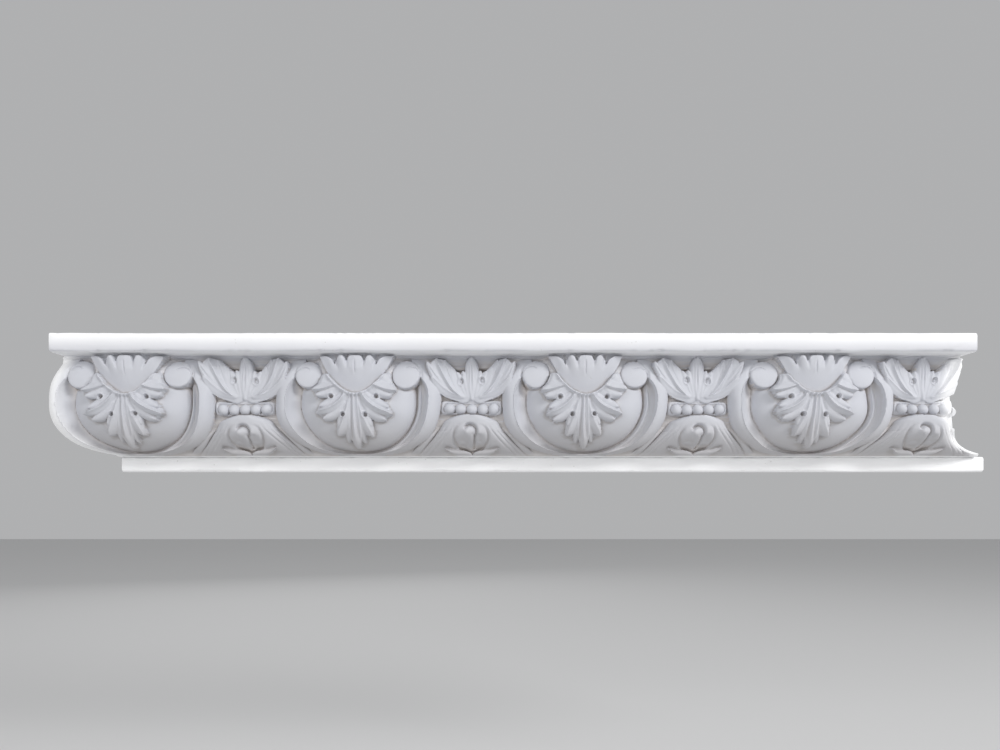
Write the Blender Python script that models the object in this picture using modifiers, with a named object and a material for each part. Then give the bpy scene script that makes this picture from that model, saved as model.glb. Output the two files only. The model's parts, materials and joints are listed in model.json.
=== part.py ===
"""Cornice moulding section in cast plaster, as one solid.

A flat top fillet stands over a carved band, which rests on a narrow bottom fillet. The band repeats an egg in
a scrolled frame, with a hanging leaf and a shell on it, and between the frames a crown of leaves, a beaded
strap and a mound. Its ends follow the frame's outline, so that the next length interlocks with it.

Metres, +Z up. The wall is the plane Y = 0 and the moulding stands out of it towards -Y. The origin is on the
wall face, at the middle of the top fillet's length and of the height.
"""

import bmesh
import bpy
import numpy as np
from mathutils import Matrix

# Driving dimensions, in metres
LENGTH = 1.000
REPEATS = 4
HEIGHT = 0.1484
TOP_FILLET = 0.0204
BOTTOM_FILLET = 0.0175
TOP_PROJECTION = 0.090
BOTTOM_PROJECTION = 0.0187
BELLY_PROJECTION = 0.058
THROAT_PROJECTION = 0.0388
EDGE_ROUND = 0.0024
JOINT_GAP = 0.001
GRID_STEP = 0.002
BAND_TRIANGLES = 8600

# The fillets and the band are made a little deeper than the wall face, and one cut trims them flat there
WALL_SINK = 0.006

# The first egg stands this share of a repeat in from the top fillet's left end
FIRST_EGG_SHARE = 0.316

# The carving is drawn at full size, in millimetres, for this repeat and this height of band. Heights on the
# drawing are measured from the underside of the bottom fillet.
MM = 0.001
DRAWN_PITCH = 250.0
DRAWN_LOW = 17.5
DRAWN_SOFFIT = 128.0

# Where the drawing changes from the belly's lower curve to its upper one
BELLY_MID = 68.0

PITCH = LENGTH / REPEATS
FIRST_EGG = -LENGTH / 2 + FIRST_EGG_SHARE * PITCH
UNDERSIDE = -HEIGHT / 2
BAND_LOW = UNDERSIDE + BOTTOM_FILLET
SOFFIT = UNDERSIDE + HEIGHT - TOP_FILLET
FOOT = BOTTOM_PROJECTION / MM
BELLY = BELLY_PROJECTION / MM
THROAT = THROAT_PROJECTION / MM

# The egg's frame: half width, middle, and reach below and above it, with the roundness of each half
INNER_OVAL = (65.5, 75.0, 54.7, 110.0, 2.1, 2.0)
RIDGE_OVAL = (82.0, 79.0, 60.0, 43.8, 2.5, 2.5)
OUTER_OVAL = (91.7, 79.0, 61.5, 86.0, 2.6, 2.0)
FRAME_FOOT_HALF = 33.0

# The shell hangs from this centre on the soffit
SHELL_MID = 127.0
SHELL_RADIUS = 38.5
SHELL_VALLEYS = (9.8, 20.5)

# The scrolls that end the frame
SCROLL_SIDE = 53.5
SCROLL_MID = 105.0
SCROLL_RADIUS = 15.7

# Each leaf lobe: start, bend, tip, half width, bluntness and depth of its vein
LEAF_LOBES = [
    ((5, 80), (6.5, 58), (17.5, 38.5), 6.0, 8, 0.0),
    ((8, 76), (10, 60), (20, 50.5), 5.0, 8, 0.0),
    ((9, 92), (13, 66), (41, 60.0), 8.0, 3.5, 0.9),
    ((16, 95), (22, 74), (37, 71.5), 5.6, 6, 0.0),
    ((22, 97), (29, 83), (46, 86.5), 7.5, 5, 0.9),
    ((27, 103), (34, 97), (43.5, 94), 5.5, 5, 0.0),
]
LEAF_EYES = [(12.3, 62.0), (25.5, 81.5)]
CROWN_LOBES = [
    ((3, 84), (7, 95), (13, 111.5), 6.3, 5, 0.0),
    ((7, 83), (18, 95), (23, 116), 5.5, 5, 0.0),
    ((9, 82), (25, 93), (33, 122.0), 7.0, 5, 0.8),
    ((10, 82), (30, 90), (51, 120), 9.0, 4, 0.8),
    ((14, 82), (30, 88), (41, 97), 5.5, 5, 0.0),
]
CROWN_EYE = (12.9, 99.7)

STRAP_HALF = 33.5
STRAP_MID = 68.8
BEADS = 5
BEAD_SPACING = 11.7
BEAD_RADIUS = 5.9
BEAD_MID = 67.8

MOUND_TOP = 60.5
BALL_MID = 40.5
BALL_RADIUS = 19.5


def ease(low, high, t):
    """Rises smoothly from 0 at low to 1 at high."""
    t = np.clip((t - low) / (high - low), 0, 1)
    return t * t * (3 - 2 * t)


def ridge_line(distance, width):
    """A soft ridge of height 1 along a line, by the distance from it."""
    return np.exp(-((distance / width) ** 2))


def smooth_max(a, b, radius):
    """The greater of two heights, with the crease between them filled over a radius."""
    near = np.clip(radius - np.abs(a - b), 0, None)
    return np.maximum(a, b) + near * near / (4 * radius)


def ground(z):
    """Distance of the plain ground from the wall: a quarter ellipse up to the belly, a hollow curve above."""
    low = np.sqrt(np.clip(1 - ((BELLY_MID - z) / (BELLY_MID - DRAWN_LOW + 1.5)) ** 2, 0, 1))
    high = ((z - BELLY_MID) / (DRAWN_SOFFIT - BELLY_MID)) ** 2
    return np.where(z < BELLY_MID, FOOT + (BELLY - FOOT) * low, BELLY - (BELLY - THROAT) * high)


def crest(z):
    """Distance of the frame's ridge from the wall: the ground and a rise that grows towards the soffit."""
    return ground(z) + 11.5 + 0.107 * (z - DRAWN_LOW)


def oval(u, z, half, mid, down, up, round_down, round_up):
    """Roughly the distance inside a rounded oval, whose lower and upper halves have their own reach."""
    reach = np.where(z < mid, down, up)
    power = np.where(z < mid, round_down, round_up)
    p = np.abs(u) / half
    q = np.abs(z - mid) / reach
    size = (p**power + q**power + 1e-12) ** (1 / power)
    slope_u = (p / size) ** (power - 1) / half
    slope_z = (q / size) ** (power - 1) / reach
    return (1 - size) / np.sqrt(slope_u**2 + slope_z**2 + 1e-12)


def oval_half(z, half, mid, down, up, round_down, round_up):
    """Half the width of the same oval at a height."""
    reach = np.where(z < mid, down, up)
    power = np.where(z < mid, round_down, round_up)
    return half * np.clip(1 - (np.abs(z - mid) / reach) ** power, 0, 1) ** (1 / power)


def stroke(u, z, start, bend, tip, steps=10):
    """Share of the way along a curved stroke, and the distance from it, at each point."""
    s = np.linspace(0, 1, steps + 1)[:, None]
    points = (1 - s) ** 2 * np.array(start) + 2 * s * (1 - s) * np.array(bend) + s**2 * np.array(tip)
    nearest = np.full(u.shape, 1e18)
    along = np.zeros(u.shape)
    for i in range(steps):
        begin = points[i]
        run = points[i + 1] - begin
        t = np.clip(((u - begin[0]) * run[0] + (z - begin[1]) * run[1]) / (run @ run), 0, 1)
        gap = (u - begin[0] - t * run[0]) ** 2 + (z - begin[1] - t * run[1]) ** 2
        closer = gap < nearest
        nearest = np.where(closer, gap, nearest)
        along = np.where(closer, (i + t) / steps, along)
    return along, np.sqrt(nearest)


def lobe(u, z, start, bend, tip, width, bluntness, vein, edge=2.5, rise=3.5, root=0.6):
    """Height of one leaf lobe: a rounded blade along a stroke, narrow at its root and at its tip."""
    out = np.zeros(u.shape)
    ends = np.array([start, bend, tip])
    low = ends.min(0) - width
    high = ends.max(0) + width
    near = (u > low[0]) & (u < high[0]) & (z > low[1]) & (z < high[1])
    if not near.any():
        return out
    s, d = stroke(u[near], z[near], start, bend, tip)
    half = width * (root + (1 - root) * ease(0, 0.55, s)) * np.sqrt(np.clip(1 - s**bluntness, 1e-6, 1))
    across = d / half
    height = edge + rise * np.clip(1 - across * across, 0, 1) ** 0.6
    height = height - vein * ridge_line(d, 1.2) * ease(0.0, 0.2, s) * (1 - ease(0.75, 1, s))
    out[near] = np.where(across < 1, height, 0)
    return out


def frame(u, z, depth):
    """The egg and its frame: a groove round the egg, a hollow channel, a ridge and an outer slope."""
    inner = oval(u, z, *INNER_OVAL)
    ridge = oval(u, z, *RIDGE_OVAL)
    outer = oval(u, z, *OUTER_OVAL)
    base = ground(z)
    top = crest(z)
    across = np.clip(-inner / np.clip(ridge - inner, 1e-6, None), 0, 1)
    low = base + 2.5
    channel = low + (top - low) * (0.12 + 0.88 * across**1.9) + 2.0 * ridge_line(across - 0.06, 0.07)
    down = np.clip(-ridge / np.clip(outer - ridge, 1e-6, None), 0, 1)
    rim = base + 6 + (top - base - 15) * ease(70, 100, z)
    slope = rim + (top - rim) * np.sqrt(np.clip(1 - down**1.8, 0, 1))
    round_in = np.clip(inner / 40, 0, 1)
    egg = base + 1 + (top + 1 - base) * np.sqrt(np.clip(1 - (1 - round_in) ** 2.8, 0, 1))
    depth = np.where((ridge <= 0) & (outer > 0), slope, depth)
    depth = np.where((inner <= 0) & (ridge > 0), channel, depth)
    return np.where(inner > 0, egg, depth), inner


def hanging_leaf(u, z):
    """Height of the leaf over the egg: a fluted middle blade, side lobes with eyes, and a collar on top."""
    from_shell = np.hypot(u, z - SHELL_MID)
    angle = np.degrees(np.arctan2(np.abs(u), SHELL_MID - z))
    leaf = lobe(u, z, (0, 92), (0, 60), (0, 25.8), 10.5, 2.6, 0, 2.5, 3.8, 0.75)
    leaf = leaf + 0.9 * np.cos(u * 2 * np.pi / 6.6) * (leaf > 0) * ease(26, 45, z)
    for shape in LEAF_LOBES:
        for side in (-1, 1):
            leaf = smooth_max(leaf, lobe(side * u, z, *shape), 1.6)
    collar_across = (from_shell - SHELL_RADIUS) / 10
    collar = 5.5 * np.sqrt(np.clip(1 - collar_across**2, 0, 1)) * (angle < 62)
    leaf = np.maximum(leaf, collar)
    leaf = np.where(leaf > 1, leaf + 5 * (1 - ease(SHELL_RADIUS, 62, from_shell)), 0)
    for eye_u, eye_z in LEAF_EYES:
        eye = np.hypot(np.abs(u) - eye_u, z - eye_z)
        leaf = leaf - 5 * np.exp(-((eye / 2.3) ** 4))
    return np.clip(leaf, 0, None)


def shell(u, z, depth):
    """The shell under the soffit: a smooth bowl below, fluted above, with a lobed top edge."""
    side = np.abs(u)
    across = np.hypot(u, z - SHELL_MID) / SHELL_RADIUS
    bowl = BELLY + 20 + 8.5 * (1 - np.clip(across, 0, 1) ** 2.5)
    top_edge = 124.0 - 5 * ease(30, 38, side)
    for valley in SHELL_VALLEYS:
        line = valley * (z - 55) / (SHELL_MID - 60)
        bowl = bowl - 4.5 * ridge_line(side - line, 1.8) * ease(104, 121, z)
        top_edge = top_edge - 5.5 * ridge_line(side - valley, 2.4)
    bowl = bowl - 0.9 * ridge_line(u, 0.8) * ease(96, 106, z)
    base = ground(z)
    bowl = base + (bowl - base) * (1 - ease(-1.2, 1.2, z - top_edge))
    return np.where(across < 1, bowl, depth)


def scrolls(u, z, depth):
    """The round scroll at each shoulder of the frame, cut under at its lower edge."""
    reach = np.hypot(np.abs(u) - SCROLL_SIDE, z - SCROLL_MID) / SCROLL_RADIUS
    undercut = 3 * ease(0.85, 1.0, reach) ** 2 * (1 - ease(108, 118, z))
    disc = crest(z) - 0.3 + 1.2 * (1 - reach**2) - undercut
    clear = np.hypot(u, z - SHELL_MID) > SHELL_RADIUS
    return np.where((reach < 1) & clear, np.maximum(depth, disc), depth)


def egg_unit(u, z, depth):
    """The egg with its frame, leaf, shell and scrolls, by the distance u from its centre."""
    depth, inner = frame(u, z, depth)
    on_egg = (inner > 0) & (np.hypot(u, z - SHELL_MID) > SHELL_RADIUS)
    depth = np.where(on_egg, depth + hanging_leaf(u, z), depth)
    depth = scrolls(u, z, depth)
    under_soffit = 1 - ease(121.5, 126.5, z)
    base = ground(z)
    depth = base + (depth - base) * under_soffit
    return shell(u, z, depth)


def crown(v, z, depth):
    """The crown of leaves between two frames, its outer leaves lying over their shoulders."""
    leaf = lobe(v, z, (0, 80), (0, 100), (0, 126), 8.3, 3.2, 1.3, 2.0, 5.0, 0.45)
    for shape in CROWN_LOBES:
        for side in (-1, 1):
            leaf = smooth_max(leaf, lobe(side * v, z, *shape, 2.0, 4.5, 0.5), 1.2)
    cup = 11 - np.hypot(v, (z - 85) * 1.3)
    leaf = np.maximum(leaf, np.where(cup > 0, 2 + 3.5 * np.sqrt(np.clip(cup / 11, 0, 1)), 0))
    leaf = np.where(leaf > 1, leaf, 0)
    eye = np.hypot(np.abs(v) - CROWN_EYE[0], z - CROWN_EYE[1])
    leaf = leaf - (leaf > 0) * 2.5 * np.exp(-((eye / 2.6) ** 4))
    level = 1 + 6 * ease(28, 48, np.abs(v))
    base = ground(z)
    under_soffit = 1 - ease(123, 127, z) * (np.abs(v) > 9)
    height = BELLY + level + leaf - base
    return np.where(leaf > 0, np.maximum(depth, base + height * under_soffit), depth)


def strap(v, z, depth):
    """The strap under the crown, with a thin rim round a row of beads."""
    sag = 0.8 * (v / 30) ** 2
    inside = np.minimum(STRAP_HALF - np.abs(v), 8 - np.abs(z - STRAP_MID - sag))
    band = BELLY + 4 + 2 * ease(0, 2, inside) - 2.2 * ease(1.5, 3, inside)
    depth = np.where(inside > 0, np.maximum(depth, band), depth)
    for i in range(BEADS):
        reach = np.hypot(v - BEAD_SPACING * (i - (BEADS - 1) / 2), z - BEAD_MID)
        bead = BELLY + 3.5 + 1.1 * np.sqrt(np.clip(BEAD_RADIUS**2 - reach**2, 0, None))
        depth = np.where(reach < BEAD_RADIUS, np.maximum(depth, bead), depth)
    return depth


def mound(v, z, depth):
    """The bell-shaped mound under the strap: two sweeping stalks round a ball with a hooked groove."""
    side = np.abs(v)
    base = ground(z)
    down = np.clip((z - DRAWN_LOW) / 43, 0, 1)
    half = 50.4 * (1 - 0.52 * down**1.45)
    across = side / half
    cover = np.sqrt(np.clip(1 - across**4, 0, 1)) * np.sqrt(np.clip(1 - ease(46, MOUND_TOP + 1, z) ** 3, 0, 1))
    rise = 3 + 13 * ease(18, 44, z)
    hollow = 27 * np.sqrt(np.clip(1 - ((z - 17) / 36) ** 2, 0, 1))
    bell = base + rise * cover - 6 * ease(0, 8, hollow - side) * cover
    bell = bell - 1.4 * ridge_line(side - half + 7, 1.2) * (1 - ease(38, 50, z))
    depth = np.where((across < 1) & (z < MOUND_TOP), np.maximum(depth, bell), depth)
    outer_rib = 3.2 * ridge_line(side - half - 6, 3.2) * ease(19, 26, z) * (1 - ease(40, 50, z))
    depth = np.maximum(depth, base + outer_rib)
    ball = BALL_RADIUS**2 - v**2 - (z - BALL_MID) ** 2
    round_ball = base + rise - 7 + 0.52 * np.sqrt(np.clip(ball, 0, None))
    depth = np.where(ball > 0, np.maximum(depth, round_ball), depth)
    hook = np.hypot(v, z - 44) - 6.8
    depth = depth - 6 * ridge_line(hook, 1.8) * ease(41, 46, z) * (ball > 0)
    for petal_mid in (-12, 12):
        petal = 1 - ((v - petal_mid) / 13.5) ** 2 - ((z - 20.2) / 3.6) ** 2
        depth = np.where(petal > 0, np.maximum(depth, base + 5 + 3 * np.sqrt(np.clip(petal, 0, None))), depth)
    return depth


def carving(x, z):
    """Distance of the carved surface from the wall, from metres along the moulding and up it."""
    u = (x - FIRST_EGG) / PITCH
    u = (u - np.round(u)) * DRAWN_PITCH
    v = np.where(u > 0, u - DRAWN_PITCH / 2, u + DRAWN_PITCH / 2)
    drawn_z = DRAWN_LOW + (z - BAND_LOW) / (SOFFIT - BAND_LOW) * (DRAWN_SOFFIT - DRAWN_LOW)
    depth = egg_unit(u, drawn_z, ground(drawn_z))
    depth = crown(v, drawn_z, depth)
    depth = strap(v, drawn_z, depth)
    return mound(v, drawn_z, depth) * MM


def end_lines(z):
    """X of the band's left and right ends at a height: the first frame's outline, and the same one cut into
    the last repeat for the next length, where a leaf tip and the strap stand past it."""
    drawn_z = DRAWN_LOW + (z - BAND_LOW) / (SOFFIT - BAND_LOW) * (DRAWN_SOFFIT - DRAWN_LOW)
    half = np.maximum(oval_half(drawn_z, *OUTER_OVAL), FRAME_FOOT_HALF) * PITCH / DRAWN_PITCH
    left = FIRST_EGG - half
    tips = 3 * ridge_line(drawn_z - STRAP_MID, 6) + 4 * ridge_line(drawn_z - 114, 5)
    right = FIRST_EGG + LENGTH - half - JOINT_GAP + tips * MM
    return left, np.minimum(right, LENGTH / 2 - JOINT_GAP * (z > SOFFIT - TOP_FILLET / 4))


def collection(name):
    made = bpy.data.collections.new(name)
    bpy.context.scene.collection.children.link(made)
    return made


def plaster():
    material = bpy.data.materials.new("plaster")
    material.use_nodes = True
    shader = material.node_tree.nodes["Principled BSDF"]
    shader.inputs["Base Color"].default_value = (0.86, 0.86, 0.85, 1)
    shader.inputs["Roughness"].default_value = 0.85
    shader.inputs["Metallic"].default_value = 0.0
    return material


def box(name, low, high, target):
    """A box object between two corners."""
    mesh = bpy.data.meshes.new(name)
    bm = bmesh.new()
    size = [b - a for a, b in zip(low, high)]
    middle = [(a + b) / 2 for a, b in zip(low, high)]
    bmesh.ops.create_cube(bm, size=1, matrix=Matrix.Translation(middle) @ Matrix.Diagonal((*size, 1)))
    bm.to_mesh(mesh)
    bm.free()
    made = bpy.data.objects.new(name, mesh)
    target.objects.link(made)
    return made


def fillet(name, left, right, low, high, projection, target):
    """A plain fillet with rounded edges, standing a little into the wall."""
    made = box(name, (left, -projection, low), (right, WALL_SINK, high), target)
    bevel = made.modifiers.new("rounded edges", "BEVEL")
    bevel.width = EDGE_ROUND
    bevel.segments = 3
    return made


def ring_of(edges):
    """The vertices of a closed loop of edges in order, from the leftmost one, so that every run is the same."""
    links = {}
    for edge in edges:
        a, b = edge.verts
        links.setdefault(a, []).append(b)
        links.setdefault(b, []).append(a)
    ring = [min(links, key=lambda vertex: (vertex.co.x, vertex.co.z))]
    ahead = max(links[ring[0]], key=lambda vertex: vertex.co.z)
    while ahead is not ring[0]:
        ring.append(ahead)
        first, second = links[ahead]
        ahead = second if first is ring[-2] else first
    return ring


def carved_band(target):
    """The carved band as a closed block: a grid laid over it, set out to the carving, then walled in."""
    seat = TOP_FILLET / 4
    skirt = min(0.0006, BOTTOM_FILLET / 8)
    across = round(LENGTH / GRID_STEP)
    rows = round((SOFFIT - BAND_LOW) / GRID_STEP)
    heights = np.concatenate(
        [
            [BAND_LOW - BOTTOM_FILLET / 4, BAND_LOW - skirt],
            np.linspace(BAND_LOW, SOFFIT, rows + 1),
            [SOFFIT + seat],
        ]
    )
    bpy.ops.mesh.primitive_grid_add(x_subdivisions=across, y_subdivisions=len(heights) - 1, size=1)
    made = bpy.context.object
    made.name = "carved_band"
    mesh = made.data
    for home in made.users_collection:
        home.objects.unlink(made)
    target.objects.link(made)
    flat = np.empty(len(mesh.vertices) * 3)
    mesh.vertices.foreach_get("co", flat)
    flat = flat.reshape(-1, 3)
    x = flat[:, 0] * LENGTH
    z = heights[np.round((flat[:, 1] + 0.5) * (len(heights) - 1)).astype(int)]
    left, right = end_lines(z)
    blend = PITCH * 0.3
    x = x + (left + LENGTH / 2) * np.clip((blend - x - LENGTH / 2) / blend, 0, 1)
    x = x + (right - LENGTH / 2) * np.clip((blend + x - LENGTH / 2) / blend, 0, 1)
    depth = carving(x, np.clip(z, BAND_LOW, SOFFIT))
    depth = np.where(z < BAND_LOW, BOTTOM_PROJECTION / 2, depth)
    mesh.vertices.foreach_set("co", np.column_stack([x, -depth, z]).ravel())
    bm = bmesh.new()
    bm.from_mesh(mesh)
    rim = [edge for edge in bm.edges if edge.is_boundary]
    ring = ring_of(rim)
    back = [bm.verts.new((vertex.co.x, WALL_SINK / 2, vertex.co.z)) for vertex in ring]
    for i in range(len(ring)):
        bm.faces.new((ring[i - 1], ring[i], back[i], back[i - 1]))
    bm.faces.new(back)
    bmesh.ops.recalc_face_normals(bm, faces=bm.faces)
    bm.to_mesh(mesh)
    triangles = sum(len(face.verts) - 2 for face in bm.faces)
    bm.free()
    thin = made.modifiers.new("fewer triangles", "DECIMATE")
    thin.ratio = min(1, BAND_TRIANGLES / triangles)
    return made


def guide(made):
    made.hide_render = True
    made.display_type = "WIRE"


def join(body, other, operation):
    step = body.modifiers.new(f"{operation.lower()} {other.name}", "BOOLEAN")
    step.operation = operation
    step.object = other
    guide(other)


def main():
    for old in list(bpy.data.objects):
        bpy.data.objects.remove(old)
    parts = collection("cornice moulding section")
    cutters = collection("cutters")
    top = UNDERSIDE + HEIGHT
    body = fillet("cornice_moulding", -LENGTH / 2, LENGTH / 2, SOFFIT, top, TOP_PROJECTION, parts)
    foot_left = FIRST_EGG - FRAME_FOOT_HALF * PITCH / DRAWN_PITCH
    bottom = fillet(
        "bottom_fillet", foot_left, foot_left + LENGTH, UNDERSIDE, BAND_LOW, BOTTOM_PROJECTION, cutters
    )
    band = carved_band(cutters)
    wall = box("wall", (-LENGTH, 0, -HEIGHT), (LENGTH, 4 * WALL_SINK, HEIGHT), cutters)
    join(band, bottom, "UNION")
    join(body, band, "UNION")
    join(body, wall, "DIFFERENCE")
    body.data.materials.append(plaster())


main()
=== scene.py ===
"""A length of cast plaster cornice, dressed over its solid, laid out as an add-on.

The carving is one height field: for every point of the band it gives the distance from the wall. It is drawn
in millimetres at full size, for one repeat, from the underside of the bottom fillet. Real sizes are metres.
"""

import json
import math

import bpy
import numpy as np
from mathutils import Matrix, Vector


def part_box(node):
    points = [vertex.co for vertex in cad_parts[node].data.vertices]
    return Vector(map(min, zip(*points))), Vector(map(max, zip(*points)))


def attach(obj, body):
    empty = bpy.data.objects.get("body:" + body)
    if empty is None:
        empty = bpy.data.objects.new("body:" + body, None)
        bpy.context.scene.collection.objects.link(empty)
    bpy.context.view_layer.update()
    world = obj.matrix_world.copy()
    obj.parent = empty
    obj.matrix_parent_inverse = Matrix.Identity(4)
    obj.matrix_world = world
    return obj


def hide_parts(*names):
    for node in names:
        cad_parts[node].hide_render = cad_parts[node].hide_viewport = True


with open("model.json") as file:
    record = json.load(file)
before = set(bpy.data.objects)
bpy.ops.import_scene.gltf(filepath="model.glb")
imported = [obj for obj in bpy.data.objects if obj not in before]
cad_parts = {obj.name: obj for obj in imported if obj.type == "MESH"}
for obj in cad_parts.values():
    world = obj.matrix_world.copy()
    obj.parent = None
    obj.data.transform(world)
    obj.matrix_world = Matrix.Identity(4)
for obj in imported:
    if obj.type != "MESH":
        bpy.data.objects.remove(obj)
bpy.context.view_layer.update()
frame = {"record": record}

bl_info = {
    "name": "Plaster cornice length",
    "version": (1, 0, 0),
    "blender": (4, 5, 0),
    "location": "3D View > Sidebar > Cornice",
    "description": "Casts a length of enriched plaster cornice and sets up its studio",
    "category": "Add Mesh",
}

NODE = "cornice_moulding"
LOW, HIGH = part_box(NODE)
BUTT = {mount["name"]: mount["pos_m"] for mount in frame["record"]["mounts"]}
TOP_LEFT = BUTT["left_butt_face"][0]
TOP_RIGHT = BUTT["right_butt_face"][0]

# The drawing: millimetres, for one repeat of this width and a band between these two heights
MM = 0.001
DRAWN_PITCH = 250.0
DRAWN_LOW = 17.5
DRAWN_SOFFIT = 128.0
BELLY_MID = 68.0
FOOT = 18.7
BELLY = 58.0
THROAT = 38.8

# Half width, middle, reach below and above it, and the roundness of each half
INNER_OVAL = (64.3, 75.0, 53.4, 110.0, 2.1, 2.0)
RIDGE_OVAL = (78.8, 79.0, 60.0, 44.5, 2.5, 2.3)
OUTER_OVAL = (91.7, 79.0, 61.5, 86.0, 2.6, 2.0)
FRAME_FOOT_HALF = 33.0

# The shell's edge is a parabola: its foot, and how it opens upwards
SHELL_FOOT = 84.0
SHELL_OPENING = 0.025
# The valleys between the shell's lobes, and the tops of the lobes, by their distance from its middle
SHELL_VALLEYS = (9.6, 21.3)
SHELL_LOBES = (0.0, 15.4, 29.0)

SCROLL_SIDE = 53.5
SCROLL_MID = 105.6
SCROLL_RADIUS = 15.6

# Each leaflet: start, bend, tip, half width, and what its blade is like. The broad low ones are the flesh
# that the narrow ones ride on
LEAFLETS = [
    ((2, 84), (5, 60), (17.0, 39.5), 8.8, dict(blunt=5, edge=3.8, rise=1.8)),
    ((8, 86), (14, 69), (40.5, 62.0), 11.6, dict(blunt=5, edge=3.8, rise=1.8)),
    ((16, 92), (26, 89), (44.5, 88), 11.2, dict(blunt=5, edge=3.8, rise=1.8)),
    ((3, 70), (4.5, 52), (8.5, 31), 5.6, dict(blunt=4, rise=3.2, lift=0.6)),
    ((5, 76), (8, 55), (18.6, 38.2), 6.8, dict(blunt=4, rise=4.2, lift=1.4, rib=0.8, rib_at=0.25)),
    ((7, 74), (11, 60), (18.0, 49.5), 5.6, dict(blunt=4, rise=3.2, lift=0.6)),
    ((11, 74), (18, 61), (34.5, 55.5), 6.6, dict(blunt=4, rise=4.0, lift=0.8)),
    ((15, 82), (24, 73), (38.5, 69.0), 6.0, dict(blunt=4, rise=4.0, lift=1.0)),
    ((9, 85), (14, 68), (42.0, 61.5), 6.6, dict(blunt=4, rise=5.2, rib=2.2, rib_at=0.2, lift=2.2)),
    ((20, 92), (30, 83), (41.5, 81.5), 5.8, dict(blunt=4, rise=4.0, lift=1.0)),
    ((20, 94), (33, 91), (46.0, 88.0), 6.6, dict(blunt=4, rise=5.0, rib=1.6, rib_at=-0.25, lift=2.0)),
    ((27, 102), (34, 101), (43.0, 96.0), 7.0, dict(blunt=4, rise=3.2)),
]
LEAF_EYES = [(12.2, 61.4, 2.2), (25.3, 80.5, 2.2)]
LEAF_TIP = (0.5, 24.8)
LEAF_SHIFT = 2.0
CROWN_LEAVES = [
    ((4, 82), (7, 96), (10.4, 111.0), 4.8, dict(blunt=5, rib=0.5, rise=3.2)),
    ((5, 82), (13, 95), (16.8, 110.5), 5.2, dict(blunt=5, rib=0.5, rise=3.2)),
    ((7, 82), (20, 93), (23.2, 116.0), 6.0, dict(blunt=5, rib=0.7, rib_at=-0.3, rise=3.6)),
    ((9, 83), (27, 92), (40, 123), 15.0, dict(blunt=6, edge=3.8, rise=1.6)),
    ((9, 82), (24, 91), (29.5, 123.0), 6.4, dict(blunt=4, groove=1.5, rise=4.2)),
    ((10, 82), (27, 90), (38.5, 124.5), 6.6, dict(blunt=4, rib=2.4, rise=5.0)),
    ((12, 82), (32, 88), (48.5, 120.0), 6.8, dict(blunt=4, groove=1.5, rise=4.4)),
    ((12, 82), (31, 86.5), (44.0, 104.0), 6.8, dict(blunt=5, rib=1.6, rib_at=0.2, rise=4.4)),
]
CROWN_EYE = (12.0, 99.5)

STRAP_HALF = 33.5
STRAP_MID = 68.6
BEADS = 5
BEAD_SPACING = 11.7
BEAD_RADIUS = 6.1

MOUND_TOP = 61.5
BALL_MID = 37.5
BALL_RADIUS = 19.5

# From here on, real metres. The blocks run this far into the wall before they are cut flat there
WALL_SINK = 0.006
# Below the band its block is drawn in, from this far under the band's lower edge
SKIRT = 0.0004
# The grid's columns lean to the ends' outlines over this share of a repeat
END_BLEND = 0.3
# The carving stays this far behind the top fillet's front
BEHIND_FRONT = 0.0002
# Over this length the right end's tail thins by this share, and it stops this far short of the bottom fillet
TAIL_LENGTH = 0.03
TAIL_THINNING = 0.55
TAIL_TRIM = 0.010

# The wear on a fillet's corners: slow waves of one height and many lengths, and chips
WAVES = 7
WAVE_HEIGHT = 0.0001
WAVE_LENGTHS = (0.004, 0.06)
CHIP_DEPTHS = (0.0002, 0.001)
CHIP_WIDTHS = (0.001, 0.003)

# Points this near the wall face are put on it, and points this near a plain level are put on that
FLAT_NEAR = 0.0004
LEVEL_NEAR = FLAT_NEAR / 10
# Faces whose normals keep this close to the wall's, or to straight up or down, are shaded flat
FACES_WALL = 0.999
FACES_LEVEL = 0.9995
SHARP_CORNER = math.radians(50)

# The masks for painted bounce light in the wide recesses and painted shade in the narrow crevices: the grid
# they are worked out on, then for each how many of its points the square reaches each way, and how far behind
# its mean a point is where the mask is full
MASK_STEP = 0.001
MASKS = {"recess": (12, 0.012), "crevice": (3, 0.0022)}
# Nothing nearer the wall than this is masked, and the painted highlight along the band's cut ends is this
# wide
MASKED_FROM = 0.002
RIM_HIGHLIGHT_WIDTH = 0.024

# The plaster's textures, by their scale
CLOUD_SCALE = 16
HOLE_PATCH_SCALE = 60
DENT_SCALE = 110
HOLE_SCALE = 170
DRAG_SCALE = 700
GRAIN_SCALE = 1400
BUMP_DEPTH = 0.0006
# The crevices' painted shade fades between these depths under the soffit, and the top fillet's painted shade
# between these places on Y
CREVICE_FADE = (0.014, 0.004)
SHADE_FADE = (-0.07, -0.04)
# The band's painted shade gives way to the fillets' white from this far inside the band to this far past it
FILLET_BLEND = (0.0008, 0.0002)

FLOOR_REACH = 6.0
# Each light: name, place, what it faces, size, and the property that holds its power
LIGHTS = [
    ("key softbox", (2.4, -2.3, 1.6), (0, 0, 0), (1.35, 1.1), "key"),
    ("front softbox", (-1.4, -2.3, 0.75), (-0.4, 0, 0), (1.8, 1.4), "front"),
    ("overhead softbox", (0.0, 0.7, 2.2), (0, 0.4, 0), (3.0, 1.6), "overhead"),
    ("back softbox", (-0.9, 2.6, 0.9), (0, 0, 0), (2.4, 1.4), "back"),
]


def ease(low, high, t):
    """Rises smoothly from 0 at low to 1 at high."""
    t = np.clip((t - low) / (high - low), 0, 1)
    return t * t * (3 - 2 * t)


def line(distance, width):
    """A soft line of height 1: the bell curve of the distance over the width."""
    return np.exp(-((distance / width) ** 2))


def dome(share):
    """The height of a half circle over a share across it: the root of what is left, none outside."""
    return np.sqrt(np.clip(share, 0, 1))


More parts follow.
